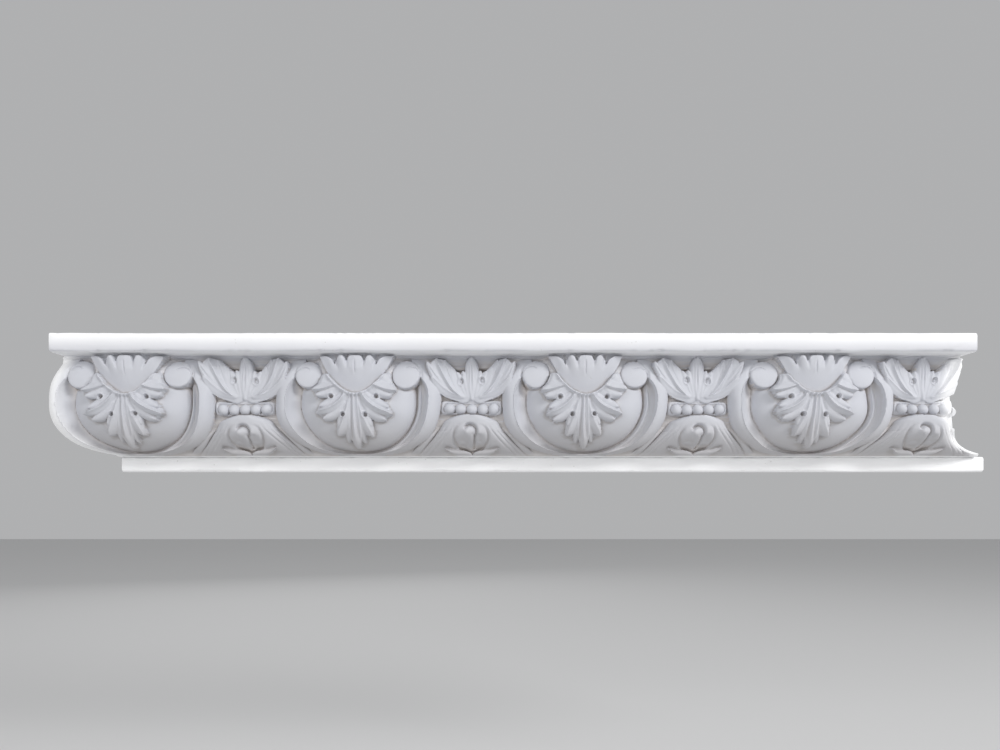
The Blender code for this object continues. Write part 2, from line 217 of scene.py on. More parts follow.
def smooth_max(a, b, radius):
    """The greater of two heights, with the crease where they are near filled by a parabola."""
    near = np.clip(radius - np.abs(a - b), 0, None)
    return np.maximum(a, b) + near * near / (4 * radius)


def ground(z):
    """Distance of the plain ground from the wall: a quarter ellipse up to the belly, a parabola above it."""
    low = dome(1 - ((BELLY_MID - z) / (BELLY_MID - DRAWN_LOW + 1.5)) ** 2)
    high = ((z - BELLY_MID) / (DRAWN_SOFFIT - BELLY_MID)) ** 2
    return np.where(z < BELLY_MID, FOOT + (BELLY - FOOT) * low, BELLY - (BELLY - THROAT) * high)


def crest(z):
    """Distance of the frame's ridge from the wall: the ground and a rise that grows with height."""
    return ground(z) + 11.5 + 0.107 * (z - DRAWN_LOW)


def oval(u, z, half, mid, down, up, round_down, round_up):
    """Distance inside a superellipse: 1 less its size at the point, over the size's slope there."""
    reach = np.where(z < mid, down, up)
    power = np.where(z < mid, round_down, round_up)
    p = np.abs(u) / half
    q = np.abs(z - mid) / reach
    size = (p**power + q**power + 1e-12) ** (1 / power)
    slope_u = (p / size) ** (power - 1) / half
    slope_z = (q / size) ** (power - 1) / reach
    return (1 - size) / np.sqrt(slope_u**2 + slope_z**2 + 1e-12)


def oval_half(z, half, mid, down, up, round_down, round_up):
    """Half the width of the same superellipse at a height."""
    reach = np.where(z < mid, down, up)
    power = np.where(z < mid, round_down, round_up)
    return half * np.clip(1 - (np.abs(z - mid) / reach) ** power, 0, 1) ** (1 / power)


def stroke(u, z, start, bend, tip, steps=9):
    """Share along a quadratic curve, and distance from it, positive on the left of its way. The curve is
    taken as short straight runs, and each point keeps the nearest one."""
    s = np.linspace(0, 1, steps + 1)[:, None]
    points = (1 - s) ** 2 * np.array(start) + 2 * s * (1 - s) * np.array(bend) + s**2 * np.array(tip)
    nearest = np.full(u.shape, 1e18)
    along = np.zeros(u.shape)
    side = np.ones(u.shape)
    for i in range(steps):
        begin = points[i]
        run = points[i + 1] - begin
        t = ((u - begin[0]) * run[0] + (z - begin[1]) * run[1]) / (run @ run)
        t = np.clip(t, 0, 1 if i < steps - 1 else 1.6)
        off_u = u - begin[0] - t * run[0]
        off_z = z - begin[1] - t * run[1]
        gap = off_u**2 + off_z**2
        closer = gap < nearest
        nearest = np.where(closer, gap, nearest)
        along = np.where(closer, (i + t) / steps, along)
        side = np.where(closer, np.sign(run[0] * off_z - run[1] * off_u), side)
    return along, side * np.sqrt(nearest)


def leaflet(u, z, start, bend, tip, half, blunt=4, edge=2.2, rise=3.0, root=0.55, rib=0.0, rib_at=0.0,
            groove=0.0, lift=0.0):
    """Height of one leaflet: a flat-topped blade along a stroke, narrow at root and tip, with a rib or a
    groove along it and a lift towards the tip."""
    out = np.zeros(u.shape)
    ends = np.array([start, bend, tip])
    low = ends.min(0) - half * 1.3
    high = ends.max(0) + half * 1.3
    near = (u > low[0]) & (u < high[0]) & (z > low[1]) & (z < high[1])
    if not near.any():
        return out
    s, d = stroke(u[near], z[near], start, bend, tip)
    wide = half * (root + (1 - root) * ease(0, 0.5, s)) * np.sqrt(np.clip(1 - s**blunt, 1e-6, 1))
    across = d / wide
    height = edge + rise * np.clip(1 - np.abs(across) ** 2.2, 0, 1) ** 0.75
    shown = ease(0.0, 0.2, s) * (1 - ease(0.85, 1, s))
    height = height + (rib * line(across - rib_at, 0.22) - groove * line(across + 0.15, 0.16)) * shown
    height = height + lift * ease(0.55, 1.0, s)
    out[near] = np.where((np.abs(across) < 1) & (s < 1), height, 0)
    return out


def frame_and_egg(u, z):
    """The egg in its frame. From inside out: a dome, a groove, a bead that grows towards the right, a hollow
    channel that rises to the ridge, and an outer slope down to the rim. Also gives the distance inside the
    egg's edge."""
    inner = oval(u, z, *INNER_OVAL)
    ridge = oval(u, z, *RIDGE_OVAL)
    outer = oval(u, z, *OUTER_OVAL)
    base = ground(z)
    top = crest(z)
    across = np.clip(-inner / np.clip(ridge - inner, 1e-6, None), 0, 1)
    low = base + 1
    channel = low + (top - low) * (0.1 + 0.9 * across**2.1)
    deep = 4.2 * (0.3 + 0.7 * ease(-10, 40, u))
    bead = 4.6 * ease(0, 45, u)
    soft = 3.2 - 2.0 * ease(-10, 40, u)
    channel = channel + bead * line(-inner - 3.9, 2.0) - deep * line(-inner - 0.2, soft)
    channel = channel + 0.9 * line(ridge - 0.9, 0.9)
    down = np.clip(-ridge / np.clip(outer - ridge, 1e-6, None), 0, 1)
    rim = base + 5 + (top - base - 14) * ease(70, 100, z)
    slope = rim + (top - 0.8 - rim) * np.clip(1 - down**2.2, 0, 1) ** 0.8
    depth = np.where((ridge <= 0) & (outer > 0), slope, base)
    depth = np.where((inner <= 0) & (ridge > 0), channel, depth)
    egg = base - 1.5 + (top + 3 - base) * dome(1 - (1 - np.clip(inner / 42, 0, 1)) ** 2.6)
    return np.where(inner > 0, egg, depth), inner


def shell_in(u, z):
    """Distance inside the shell's edge: the height over its parabola, over the slope of the parabola."""
    return (z - SHELL_FOOT - SHELL_OPENING * u**2) / np.sqrt(1 + (2 * SHELL_OPENING * u) ** 2)


def hanging_leaf(u, z):
    """Height of the leaf on the egg: leaflets either side of a fluted middle blade, drilled eyes between
    them, and a collar with a thin lip round the shell."""
    collar_in = -shell_in(u, z)
    u = u + LEAF_SHIFT * (1 - ease(80, 100, z))
    sides = np.zeros(u.shape)
    for sign in (-1, 1):
        for start, bend, tip, half, blade in LEAFLETS:
            sides = smooth_max(sides, leaflet(sign * u, z, start, bend, tip, half, **blade), 0.5)
    blade = dict(blunt=3.2, edge=2.8, rise=3.2, root=0.75, lift=3.6)
    middle = leaflet(u, z, (0, 92), (0, 60), LEAF_TIP, 8.8, **blade)
    fan = u / (0.7 + 0.5 * ease(90, 40, z))
    middle = middle + 1.3 * np.cos(fan * 2 * np.pi / 5.6) * ease(27, 40, z) * (middle > 0)
    leaf = smooth_max(sides, middle, 0.5)
    collar = 3.8 * dome(1 - (collar_in / 10) ** 2) * (z < 104)
    leaf = np.where(leaf > 1, smooth_max(leaf, collar, 2.0), collar)
    leaf = leaf * 1.32 + 2.6 * line(collar_in - 1.4, 1.4) * (leaf > 0)
    leaf = np.where(leaf > 1, leaf + 1.0 * (1 - ease(0, 20, collar_in)), 0)
    for eye_u, eye_z, size in LEAF_EYES:
        eye = np.hypot(np.abs(u) - eye_u, z - eye_z)
        leaf = leaf + (leaf > 0) * (0.8 * line(eye - size - 1.2, 0.8) - 6 * np.exp(-((eye / size) ** 4)))
    return np.clip(leaf, 0, None)


def shell(u, z, depth):
    """The shell under the soffit: a bowl that comes forward as it rises from its edge, with valleys and lobes
    that fan out upwards. Its top edge is notched at each valley and falls away outside the last one, and a
    thicker body stands a little behind the edge."""
    side = np.abs(u)
    inside = shell_in(u, z)
    bowl = BELLY + 19.0 + 8.0 * np.clip(inside / 26, 0, 1) ** 0.85
    fan = (z - 50) / 72
    for valley in SHELL_VALLEYS:
        bowl = bowl - 2.4 * line(side - valley * fan, 1.5) * ease(108, 121, z)
    for lobe in SHELL_LOBES:
        bowl = bowl + 1.2 * line(side - lobe * fan, 4.2) * ease(100, 119, z)
    bowl = bowl - 1.2 * line(u + 0.3, 0.8) * ease(103, 109, z) * (1 - ease(117, 122, z))
    inner, outer = SHELL_VALLEYS
    wing = np.where(side > outer, 4.5 * (1 - ease(outer, 34, side)), 0)
    top_edge = 125.4 - 5.5 * line(side - inner, 2.4) - 5.0 * line(side - outer, 2.8) - wing
    behind = np.maximum(ground(z), bowl - 5.0 - 5.0 * ease(118, 127, z))
    bowl = behind + (bowl - behind) * (1 - ease(-0.9, 0.9, z - top_edge))
    return np.where(inside > 0, bowl, depth)


def scrolls(u, z, depth):
    """The scroll at each shoulder of the frame: a disc cut under below, with a line that curls in from
    its outer side."""
    off_u = np.abs(u) - SCROLL_SIDE
    off_z = z - SCROLL_MID
    reach = np.hypot(off_u, off_z) / SCROLL_RADIUS
    low_side = 1 - ease(106, 120, z)
    turn = np.arctan2(off_z, off_u)
    wound = 1.02 - 0.6 * np.clip(turn / 1.6, 0, 1)
    disc = crest(z) + 1.6 * (1 - reach**2) - 3.0 * ease(0.88, 1.0, reach) ** 2 * low_side
    curl = 1.3 * line((reach - wound) * SCROLL_RADIUS, 0.7) * ease(-0.2, 0.2, turn)
    disc = disc - curl * (1 - ease(1.4, 2.0, turn))
    clear = shell_in(u, z) < 0
    groove = 2.0 * line((reach - 1.06) * SCROLL_RADIUS, 1.3) * low_side
    depth = np.where((reach >= 1) & clear, depth - groove, depth)
    return np.where((reach < 1) & clear, disc, depth)


def egg_unit(u, z):
    """The egg, frame, leaf, scrolls and shell, by the distance u from the egg's middle."""
    depth, inner = frame_and_egg(u, z)
    on_egg = (inner > 0) & (shell_in(u, z) < 0)
    depth = np.where(on_egg, depth + hanging_leaf(u, z), depth)
    depth = scrolls(u, z, depth)
    base = ground(z)
    depth = base + (depth - base) * (1 - ease(123.0, 127.5, z))
    return shell(u, z, depth)


def crown(v, z, depth):
    """The crown of leaves between two frames: a veined middle leaf, side leaves that rise over the frames'
    shoulders, a cup at their foot and an eye in each side."""
    side = np.abs(v)
    leaf = leaflet(v, z, (0, 80), (0, 100), (0, 125.5), 8.6, blunt=7, edge=1.8, rise=4.6, root=0.35)
    veins = 1.3 * line(v, 0.8) + 0.8 * line(side - 3.4, 0.7) * ease(96, 104, z)
    leaf = leaf - (leaf > 0) * veins * ease(84, 92, z) * (1 - ease(115, 121, z))
    for sign in (-1, 1):
        for start, bend, tip, half, blade in CROWN_LEAVES:
            leaf = smooth_max(leaf, leaflet(sign * v, z, start, bend, tip, half, **blade), 0.9)
    cup = 1 - np.hypot(v, (z - 89.5) * 1.2) / 17
    leaf = np.where(cup > 0, smooth_max(leaf, 2 + 4.2 * dome(cup), 1.5), leaf)
    leaf = np.where(leaf > 1, leaf, 0)
    eye = np.hypot(side - CROWN_EYE[0], (z - CROWN_EYE[1]) * 0.8)
    drilled = 2.8 * np.exp(-((eye / 2.7) ** 4)) - 2.4 * line(eye, 1.2) - 0.9 * line(eye - 3.6, 0.7)
    leaf = leaf - (leaf > 0) * drilled
    level = 2 + 8.5 * ease(22, 50, side)
    base = ground(z)
    height = (BELLY + level + leaf - base) * (1 - ease(123.5, 127.0, z) * (side > 8.5))
    return np.where(leaf > 0, np.maximum(depth, base + height), depth)


def strap(v, z, depth):
    """The strap under the crown: a band with rounded ends that sags upwards at them, a thin rim, and a row
    of beads."""
    sag = 1.2 * (v / 30) ** 2
    off_z = z - STRAP_MID - sag
    inside = 8.2 * (1 - ((np.abs(v) / STRAP_HALF) ** 14 + np.abs(off_z / 8.2) ** 4) ** 0.25)
    band = BELLY + 2.2 + 2.8 * ease(0, 1.8, inside) - 1.3 * ease(1.8, 3.6, inside)
    depth = np.where(inside > 0, np.maximum(depth, band), depth)
    for i in range(BEADS):
        reach = np.hypot(v - BEAD_SPACING * (i - (BEADS - 1) / 2), off_z + 1) / BEAD_RADIUS
        bead = BELLY + 4.4 + 1.1 * BEAD_RADIUS * dome(1 - reach**2)
        depth = np.where(reach < 1, np.maximum(depth, bead), depth)
    return depth


def mound(v, z, depth):
    """The mound under the strap: a bell with a round top whose flanks sweep down and out in long tails,
    grooved along them, with a second rib outside each."""
    side = np.abs(v)
    base = ground(z)
    half = 29 + 31 * np.clip((57 - z) / 37, 0, 1.1) ** 1.3
    half = np.where(z > 44, np.minimum(half, 33 * dome(1 - ((z - 44) / 18) ** 2) + 3), half)
    rise = 4.5 + 12.5 * ease(17, 47, z)
    cover = dome(1 - (side / half) ** 2.6)
    bell = base + rise * cover
    low = 1 - ease(42, 55, z)
    right = 0.6 + 0.4 * ease(-10, 10, v)
    for inset, deep in ((6.5, 2.6), (12.5, 1.7)):
        bell = bell - deep * line(side - half + inset, 1.2) * low * cover * right
    depth = np.where((side < half) & (z < MOUND_TOP), np.maximum(depth, bell), depth)
    rib = 4.2 * dome(1 - ((side - half - 5.5) / 5) ** 2) * ease(18, 24, z) * (1 - ease(38, 50, z))
    return ball(v, z, np.maximum(depth, base + rib), rise)


def ball(v, z, depth, rise):
    """The ball in the mound: a dome sunk between two side grooves and tipped under, a hooked groove round a
    bud, a crooked crease, two small ledges, and a pair of petals below it."""
    side = np.abs(v)
    base = ground(z)
    reach = np.hypot(v / 1.04, (z - BALL_MID) * 1.08) / BALL_RADIUS
    on_ball = reach < 1
    swell = base + rise - 3.0 + 0.58 * BALL_RADIUS * (dome(1 - (reach / 1.08) ** 2) - 0.4)
    swell = swell - 7.5 * (1 - ease(20, 40, z))
    sunk = (1 - ease(0.86, 1.0, reach)) * (1 - ease(40, 54, z))
    depth = depth + (np.maximum(swell, base - 2) - depth) * sunk
    depth = depth - 2.8 * line((reach - 0.97) * BALL_RADIUS, 1.6) * ease(24, 28, z) * (1 - ease(43, 52, z))
    hook = 5.6 * line(np.hypot(v + 1.2, z - 43.0) - 7.0, 1.9) * ease(-8, 1, v + 2 * (z - 43.5))
    hook = hook * (1 - ease(9, 13, np.hypot(v - 3.5, z - 46)))
    bud = 4.2 * line(np.hypot(v + 4.6, (z - 41.5) * 0.8), 4.2)
    bent = v - 2.0 - 1.6 * np.sin((z - 26) / 6)
    cut = ease(24, 27, z) * (1 - ease(38, 42.0, z))
    crease = cut * (4.4 * line(bent, 1.5) + 3.0 * ease(-1, 1, bent) * (1 - ease(5, 14, bent)))
    ledge = 2.0 * line(side - 9.5, 4) * line(z - 31.5 + 0.03 * (side - 9.5) ** 2, 1.6)
    depth = depth + on_ball * (bud + ledge - hook - crease)
    low_edge = 16.6 + 9.4 * np.clip((side - 11) / 20, 0, 1) ** 1.7
    top_edge = 18.6 + 5.6 * dome(1 - (1 - np.clip(side / 15, 0, 1)) ** 2) + 2.2 * ease(15, 31, side)
    within = (side < 31) & (z < top_edge) & (z > low_edge)
    share = np.clip((z - low_edge) / np.clip(top_edge - low_edge, 0.1, None), 0, 1)
    shade = line(z - top_edge - 1.4, 1.5) * (1 - ease(28, 32, side))
    depth = np.where(within, depth, depth - 2.0 * shade * ease(1, 8, side))
    petal = 12.5 - 6.5 * share**1.5 - 3.0 * (1 - ease(0, 0.14, share))
    return np.where(within, np.maximum(depth, base + petal), depth)


def cove(x, z, depth):
    """The cove under the soffit, which comes forward from the throat along a rising curve, with a thin
    broken line of plaster squeezed out along it."""
    curve = (THROAT + 13.5) * ease(108, 114, z) + 12 * np.clip((z - 112) / 16, 0, 1) ** 1.4
    squeezed = 2.2 * line(z - 125.2, 0.7) * (0.5 + 0.5 * np.sin(x / 8.3 + 2 * np.sin(x / 29)))
    return np.maximum(depth, curve + squeezed)


def by_hand(x, z):
    """How far the carver's hand strays along and up the band, in millimetres: sums of slow waves."""
    held = ease(17.5, 30, z) * (1 - ease(112, 128, z))
    along = 0.6 * np.sin(x / 31 + z / 17) + 0.45 * np.sin(x / 13.7 - z / 11 + 1.3)
    up = 0.5 * np.sin(x / 27 - z / 19 + 0.6) + 0.4 * np.sin(x / 11.3 + z / 13)
    return x + along * held, z + up * held


class Sizes:
    """The real sizes in metres, worked out from the properties."""

    def __init__(self, chosen):
        self.left = TOP_LEFT
        self.right = TOP_RIGHT
        self.length = TOP_RIGHT - TOP_LEFT
        self.pitch = self.length / chosen.repeats
        self.stretch = self.pitch / DRAWN_PITCH
        self.first_egg = LOW[0] + OUTER_OVAL[0] * self.stretch
        self.foot_left = self.first_egg - FRAME_FOOT_HALF * self.stretch
        self.underside = LOW[2]
        self.top = HIGH[2]
        self.band_low = LOW[2] + chosen.bottom_fillet
        self.soffit = HIGH[2] - chosen.top_fillet
        self.top_projection = -LOW[1]
        self.bottom_projection = chosen.bottom_projection
        self.joint_gap = chosen.joint_gap

    def drawn_z(self, z):
        return DRAWN_LOW + (z - self.band_low) / (self.soffit - self.band_low) * (DRAWN_SOFFIT - DRAWN_LOW)

    def carving(self, x, z):
        """Distance of the carved surface from the wall at a point of the band."""
        drawn_x, drawn_z = by_hand((x - self.first_egg) / self.stretch, self.drawn_z(z))
        u = drawn_x - np.round((x - self.first_egg) / self.pitch) * DRAWN_PITCH
        v = np.where(u > 0, u - DRAWN_PITCH / 2, u + DRAWN_PITCH / 2)
        plain = egg_unit(u, drawn_z)
        depth = crown(v, drawn_z, plain)
        depth = strap(v, drawn_z, depth)
        depth = mound(v, drawn_z, depth)
        depth = cove(drawn_x, drawn_z, np.where(drawn_x < 0, plain, depth))
        left, right = self.ends(z)
        thin = np.clip(1 - (right - x) / TAIL_LENGTH, 0, 1) ** 2 * (1 - ease(28, 56, drawn_z))
        depth = depth - (depth - FOOT) * TAIL_THINNING * thin
        return np.minimum(depth * MM, self.top_projection - BEHIND_FRONT)

    def ends(self, z):
        """X of the band's two ends at a height: the first frame's outline, and the same one cut into the
        last repeat, with a leaf tip and the strap's knob standing past it."""
        drawn_z = self.drawn_z(z)
        half = np.maximum(oval_half(drawn_z, *OUTER_OVAL), FRAME_FOOT_HALF) * self.stretch
        right = self.first_egg + self.length - half - self.joint_gap + 2.2 * line(drawn_z - 66, 5.0) * MM
        right = np.minimum(right, self.foot_left + self.length - TAIL_TRIM)
        leaf_end = self.right - (8.5 - 1.3 * line(drawn_z - 101, 3) - 1.6 * line(drawn_z - 115, 4)) * MM
        leaf_end = leaf_end + 4 * ease(119, 125, drawn_z) * MM
        return self.first_egg - half, np.where(drawn_z > 90, np.minimum(right, leaf_end), right)


def mesh_from(name, points, quads, caps):
    """A mesh from an array of points, an array of quads and a few many-sided faces."""
    mesh = bpy.data.meshes.new(name)
    corners = np.concatenate([quads.ravel(), *caps])
    sides = np.concatenate([np.full(len(quads), 4), [len(cap) for cap in caps]]).astype(np.int32)
    mesh.vertices.add(len(points))
    mesh.vertices.foreach_set("co", points.astype(np.float32).ravel())
    mesh.loops.add(len(corners))
    mesh.loops.foreach_set("vertex_index", corners.astype(np.int32))
    mesh.polygons.add(len(sides))
    mesh.polygons.foreach_set("loop_start", np.concatenate([[0], np.cumsum(sides)[:-1]]).astype(np.int32))
    mesh.polygons.foreach_set("loop_total", sides)
    mesh.update(calc_edges=True)
    mesh.validate()
    return mesh


def object_of(mesh):
    made = bpy.data.objects.new(mesh.name, mesh)
    bpy.context.scene.collection.objects.link(made)
    return made


def finished(made, name):
    """The object's mesh with its modifiers worked out, as a new object in its place."""
    bpy.context.view_layer.update()
    graph = bpy.context.evaluated_depsgraph_get()
    mesh = bpy.data.meshes.new_from_object(made.evaluated_get(graph))
    before = made.data
    bpy.data.objects.remove(made)
    bpy.data.meshes.remove(before)
    mesh.name = name
    return object_of(mesh)


def grid_quads(rows, columns):
    """The numbers of a grid's points, row by row, and the four corners of each of its cells."""
    index = np.arange(rows * columns).reshape(rows, columns)
    corners = [index[:-1, :-1], index[:-1, 1:], index[1:, 1:], index[1:, :-1]]
    return index, np.stack(corners, -1).reshape(-1, 4)


def band_block(sizes, chosen):
    """The carved band as a closed block: the height field on a grid, whose columns lean to the ends'
    outlines near them, walled in to behind the wall face."""
    rows = round((sizes.soffit - sizes.band_low) / chosen.mesh_step)
    columns = round(sizes.length / chosen.mesh_step)
    seat = (sizes.top - sizes.soffit) / 4
    sunk = [sizes.band_low - seat, sizes.band_low - SKIRT]
    carved = np.linspace(sizes.band_low, sizes.soffit, rows + 1)
    levels = np.concatenate([sunk, carved, [sizes.soffit + seat]])
    even = np.linspace(sizes.left, sizes.right, columns + 1)
    x, z = np.meshgrid(even, levels)
    left, right = sizes.ends(z)
    blend = sizes.pitch * END_BLEND
    x = x + (left - sizes.left) * np.clip(1 - (x - sizes.left) / blend, 0, 1)
    x = x + (right - sizes.right) * np.clip(1 - (sizes.right - x) / blend, 0, 1)
    depth = sizes.carving(x, np.clip(z, sizes.band_low, sizes.soffit))
    depth = np.where(z < sizes.band_low, sizes.bottom_projection / 2, depth)
    front = np.column_stack([x.ravel(), -depth.ravel(), z.ravel()])
    index, quads = grid_quads(*x.shape)
    rim = np.concatenate([index[0, :-1], index[:-1, -1], index[-1, :0:-1], index[:0:-1, 0]])
    back = front[rim] * [1, 0, 1] + [0, WALL_SINK / 2, 0]
    behind = len(front) + np.arange(len(rim))
    walls = np.stack([rim, behind, np.roll(behind, -1), np.roll(rim, -1)], -1)
    mesh = mesh_from("carved band", np.vstack([front, back]), np.vstack([quads, walls]), [behind[::-1]])
    return object_of(mesh)


def fillet_bar(name, left, right, low, high, projection, chosen, seed):
    """A plain fillet: a rectangle with rounded front corners carried along X, drawn in at both ends in a
    quarter circle. Its corners waver slowly and have small chips, all inwards."""
    radius = chosen.edge_round
    half = (high - low) / 2
    turns = np.radians(np.linspace(0, 90, 6))
    arc_y = -projection + radius - radius * np.cos(turns)
    arc = np.column_stack([arc_y, half - radius + radius * np.sin(turns)])
    face = np.linspace(-half + radius, half - radius, 9)[1:-1]
    front = np.vstack([arc[::-1] * [1, -1], np.column_stack([np.full(len(face), -projection), face]), arc])
    inner = -projection + 4 * radius
    profile = np.vstack([[WALL_SINK, -half], [inner, -half], front, [inner, half], [WALL_SINK, half]])
    profile_y, profile_z = profile.T
    along = np.linspace(left + radius, right - radius, chosen.fillet_steps)
    drawn_in = radius * (1 - np.cos(turns[:-1]))
    stations = np.concatenate([left + drawn_in, along, right - drawn_in[::-1]])
    inset = np.zeros(len(stations))
    inset[: len(drawn_in)] = radius * (1 - np.sin(turns[:-1]))
    inset[-len(drawn_in):] = inset[: len(drawn_in)][::-1]
    rng = np.random.default_rng(seed)
    worn = np.zeros((len(stations), len(profile_y)))
    for side in (-1, 1):
        wear = np.zeros(len(stations))
        for wave in range(WAVES):
            wear += WAVE_HEIGHT * (1 + np.sin(stations / rng.uniform(*WAVE_LENGTHS) + rng.uniform(0, 6.3)))
        for chip in range(chosen.chips):
            place = rng.uniform(left, right)
            wear += rng.uniform(*CHIP_DEPTHS) * line(stations - place, rng.uniform(*CHIP_WIDTHS))
        corner = line(np.hypot(profile_y + projection, profile_z - side * half), radius * 1.3)
        worn += wear[:, None] * corner
    shrink_y = np.where(profile_y < 0, 1 - inset[:, None] / projection, 1)
    y = profile_y * shrink_y + worn
    z = (low + high) / 2 + profile_z * (1 - inset[:, None] / half) - worn * np.sign(profile_z)
    x = np.broadcast_to(stations[:, None], y.shape)
    index, quads = grid_quads(*y.shape)
    closing = np.stack([index[:-1, -1], index[:-1, 0], index[1:, 0], index[1:, -1]], -1)
    points = np.column_stack([x.ravel(), y.ravel(), z.ravel()])
    quads = np.vstack([quads, closing])[:, ::-1]
    return object_of(mesh_from(name, points, quads, [index[0], index[-1][::-1]]))


def wall_cutter(sizes):
    """A box behind the wall face."""
    made_x = (2 * sizes.left, 2 * sizes.right)
    made_z = (2 * sizes.underside, 2 * sizes.top)
    points = np.array([(x, y, z) for x in made_x for y in (0, 4 * WALL_SINK) for z in made_z])
    quads = np.array([(0, 1, 3, 2), (4, 6, 7, 5), (0, 4, 5, 1), (2, 3, 7, 6), (0, 2, 6, 4), (1, 5, 7, 3)])
    return object_of(mesh_from("wall", points, quads, []))


def joined(body, others, name, triangles):
    """The body with the other objects joined to it or cut from it, each with its operation, thinned to a
    number of triangles where it is smooth."""
    for other, operation in others:
        step = body.modifiers.new(operation.lower(), "BOOLEAN")
        step.operation = operation
        step.object = other
        step.solver = "MANIFOLD"
    made = finished(body, name)
    for other, operation in others:
        bpy.data.objects.remove(other)
    sides = np.empty(len(made.data.polygons), np.int32)
    made.data.polygons.foreach_get("loop_total", sides)
    thin = made.modifiers.new("fewer triangles", "DECIMATE")
    thin.ratio = triangles / np.sum(sides - 2)
    return finished(made, name)


def blurred(field, reach):
    """A height field averaged over a square of that many points each way, by running sums."""
    for axis in (0, 1):
        padded = np.concatenate([np.repeat(np.take(field, [0], axis), reach, axis), field,
                                 np.repeat(np.take(field, [-1], axis), reach, axis)], axis)
        total = np.cumsum(padded, axis)
        width = 2 * reach
        field = (np.take(total, range(width, total.shape[axis]), axis)
                 - np.take(total, range(0, total.shape[axis] - width), axis)) / width
    return field


def settle(made, sizes):
    """Puts points that the thinning moved back on the wall face and inside the solid's box, and gives the
    plain flat faces flat shading."""
    mesh = made.data
    points = np.empty(len(mesh.vertices) * 3, np.float32)
    mesh.vertices.foreach_get("co", points)
    points = np.clip(points.reshape(-1, 3), LOW, HIGH).astype(np.float32)
    points[np.abs(points[:, 1]) < FLAT_NEAR, 1] = 0
    for level in (sizes.top, sizes.soffit, sizes.band_low, sizes.underside):
        points[np.abs(points[:, 2] - level) < LEVEL_NEAR, 2] = level
    mesh.vertices.foreach_set("co", points.ravel())
    mesh.update()
    normals = np.empty(len(mesh.polygons) * 3, np.float32)
    mesh.polygons.foreach_get("normal", normals)
    normals = normals.reshape(-1, 3)
    flat = (normals[:, 1] > FACES_WALL) | (np.abs(normals[:, 2]) > FACES_LEVEL)
    mesh.shade_smooth()
    mesh.set_sharp_from_angle(angle=SHARP_CORNER)
    mesh.polygons.foreach_set("use_smooth", ~flat)


def store(mesh, name, values):
    """Stores one value for each point of a mesh."""
    mesh.attributes.new(name, "FLOAT", "POINT").data.foreach_set("value", values.astype(np.float32))


def mark_painted_light_masks(made, sizes):
    """Stores how far each point lies behind the mean surface round it, from 0 to 1, over a wide square and
    over a small one, each under its name in MASKS: the masks for painted bounce light in the wide recesses
    and for painted shade in the narrow crevices. How near it is to the band's cut ends is stored as "rim",
    the mask for a painted highlight there. These are 0 on the wall face and the fillets. "carved" is 0 on the
    wall face and 1 on all that stands out from it."""
    x = np.arange(LOW[0], HIGH[0], MASK_STEP)
    z = np.arange(sizes.band_low, sizes.soffit, MASK_STEP)
    depth = sizes.carving(*np.meshgrid(x, z))
    mesh = made.data
    points = np.empty(len(mesh.vertices) * 3, np.float32)
    mesh.vertices.foreach_get("co", points)
    points = points.reshape(-1, 3)
    column = np.clip(np.round((points[:, 0] - LOW[0]) / MASK_STEP).astype(int), 0, len(x) - 1)
    row = np.clip(np.round((points[:, 2] - sizes.band_low) / MASK_STEP).astype(int), 0, len(z) - 1)
    on_front = points[:, 1] < -MASKED_FROM
    in_band = (points[:, 2] > sizes.band_low) & (points[:, 2] < sizes.soffit) & on_front
    for name, (reach, full) in MASKS.items():
        mask = np.clip((blurred(depth, reach) - depth) / full, 0, 1)
        store(mesh, name, np.where(in_band, mask[row, column], 0))
    left, right = sizes.ends(points[:, 2])
    rim = np.clip(1 - np.minimum(points[:, 0] - left, right - points[:, 0]) / RIM_HIGHLIGHT_WIDTH, 0, 1) * in_band
    store(mesh, "rim", rim)
    store(mesh, "carved", on_front)


class Number:
    """A number in a shader. Arithmetic on it adds Math nodes."""

    def __init__(self, shader, socket):
        self.shader = shader
        self.socket = socket

    def __add__(self, other):
        return self.shader.math("ADD", self, other)

    def __sub__(self, other):
        return self.shader.math("SUBTRACT", self, other)

    def __rsub__(self, other):
        return self.shader.math("SUBTRACT", other, self)

    def __mul__(self, other):
        return self.shader.math("MULTIPLY", self, other)

    def above(self, low, high):
        """0 under low, 1 over high, and smooth between."""
        return self.shader.node(
            "ShaderNodeMapRange", {"interpolation_type": "SMOOTHSTEP"},
            {"Value": self, "From Min": low, "From Max": high}, "Result",
        )

    __radd__ = __add__
    __rmul__ = __mul__


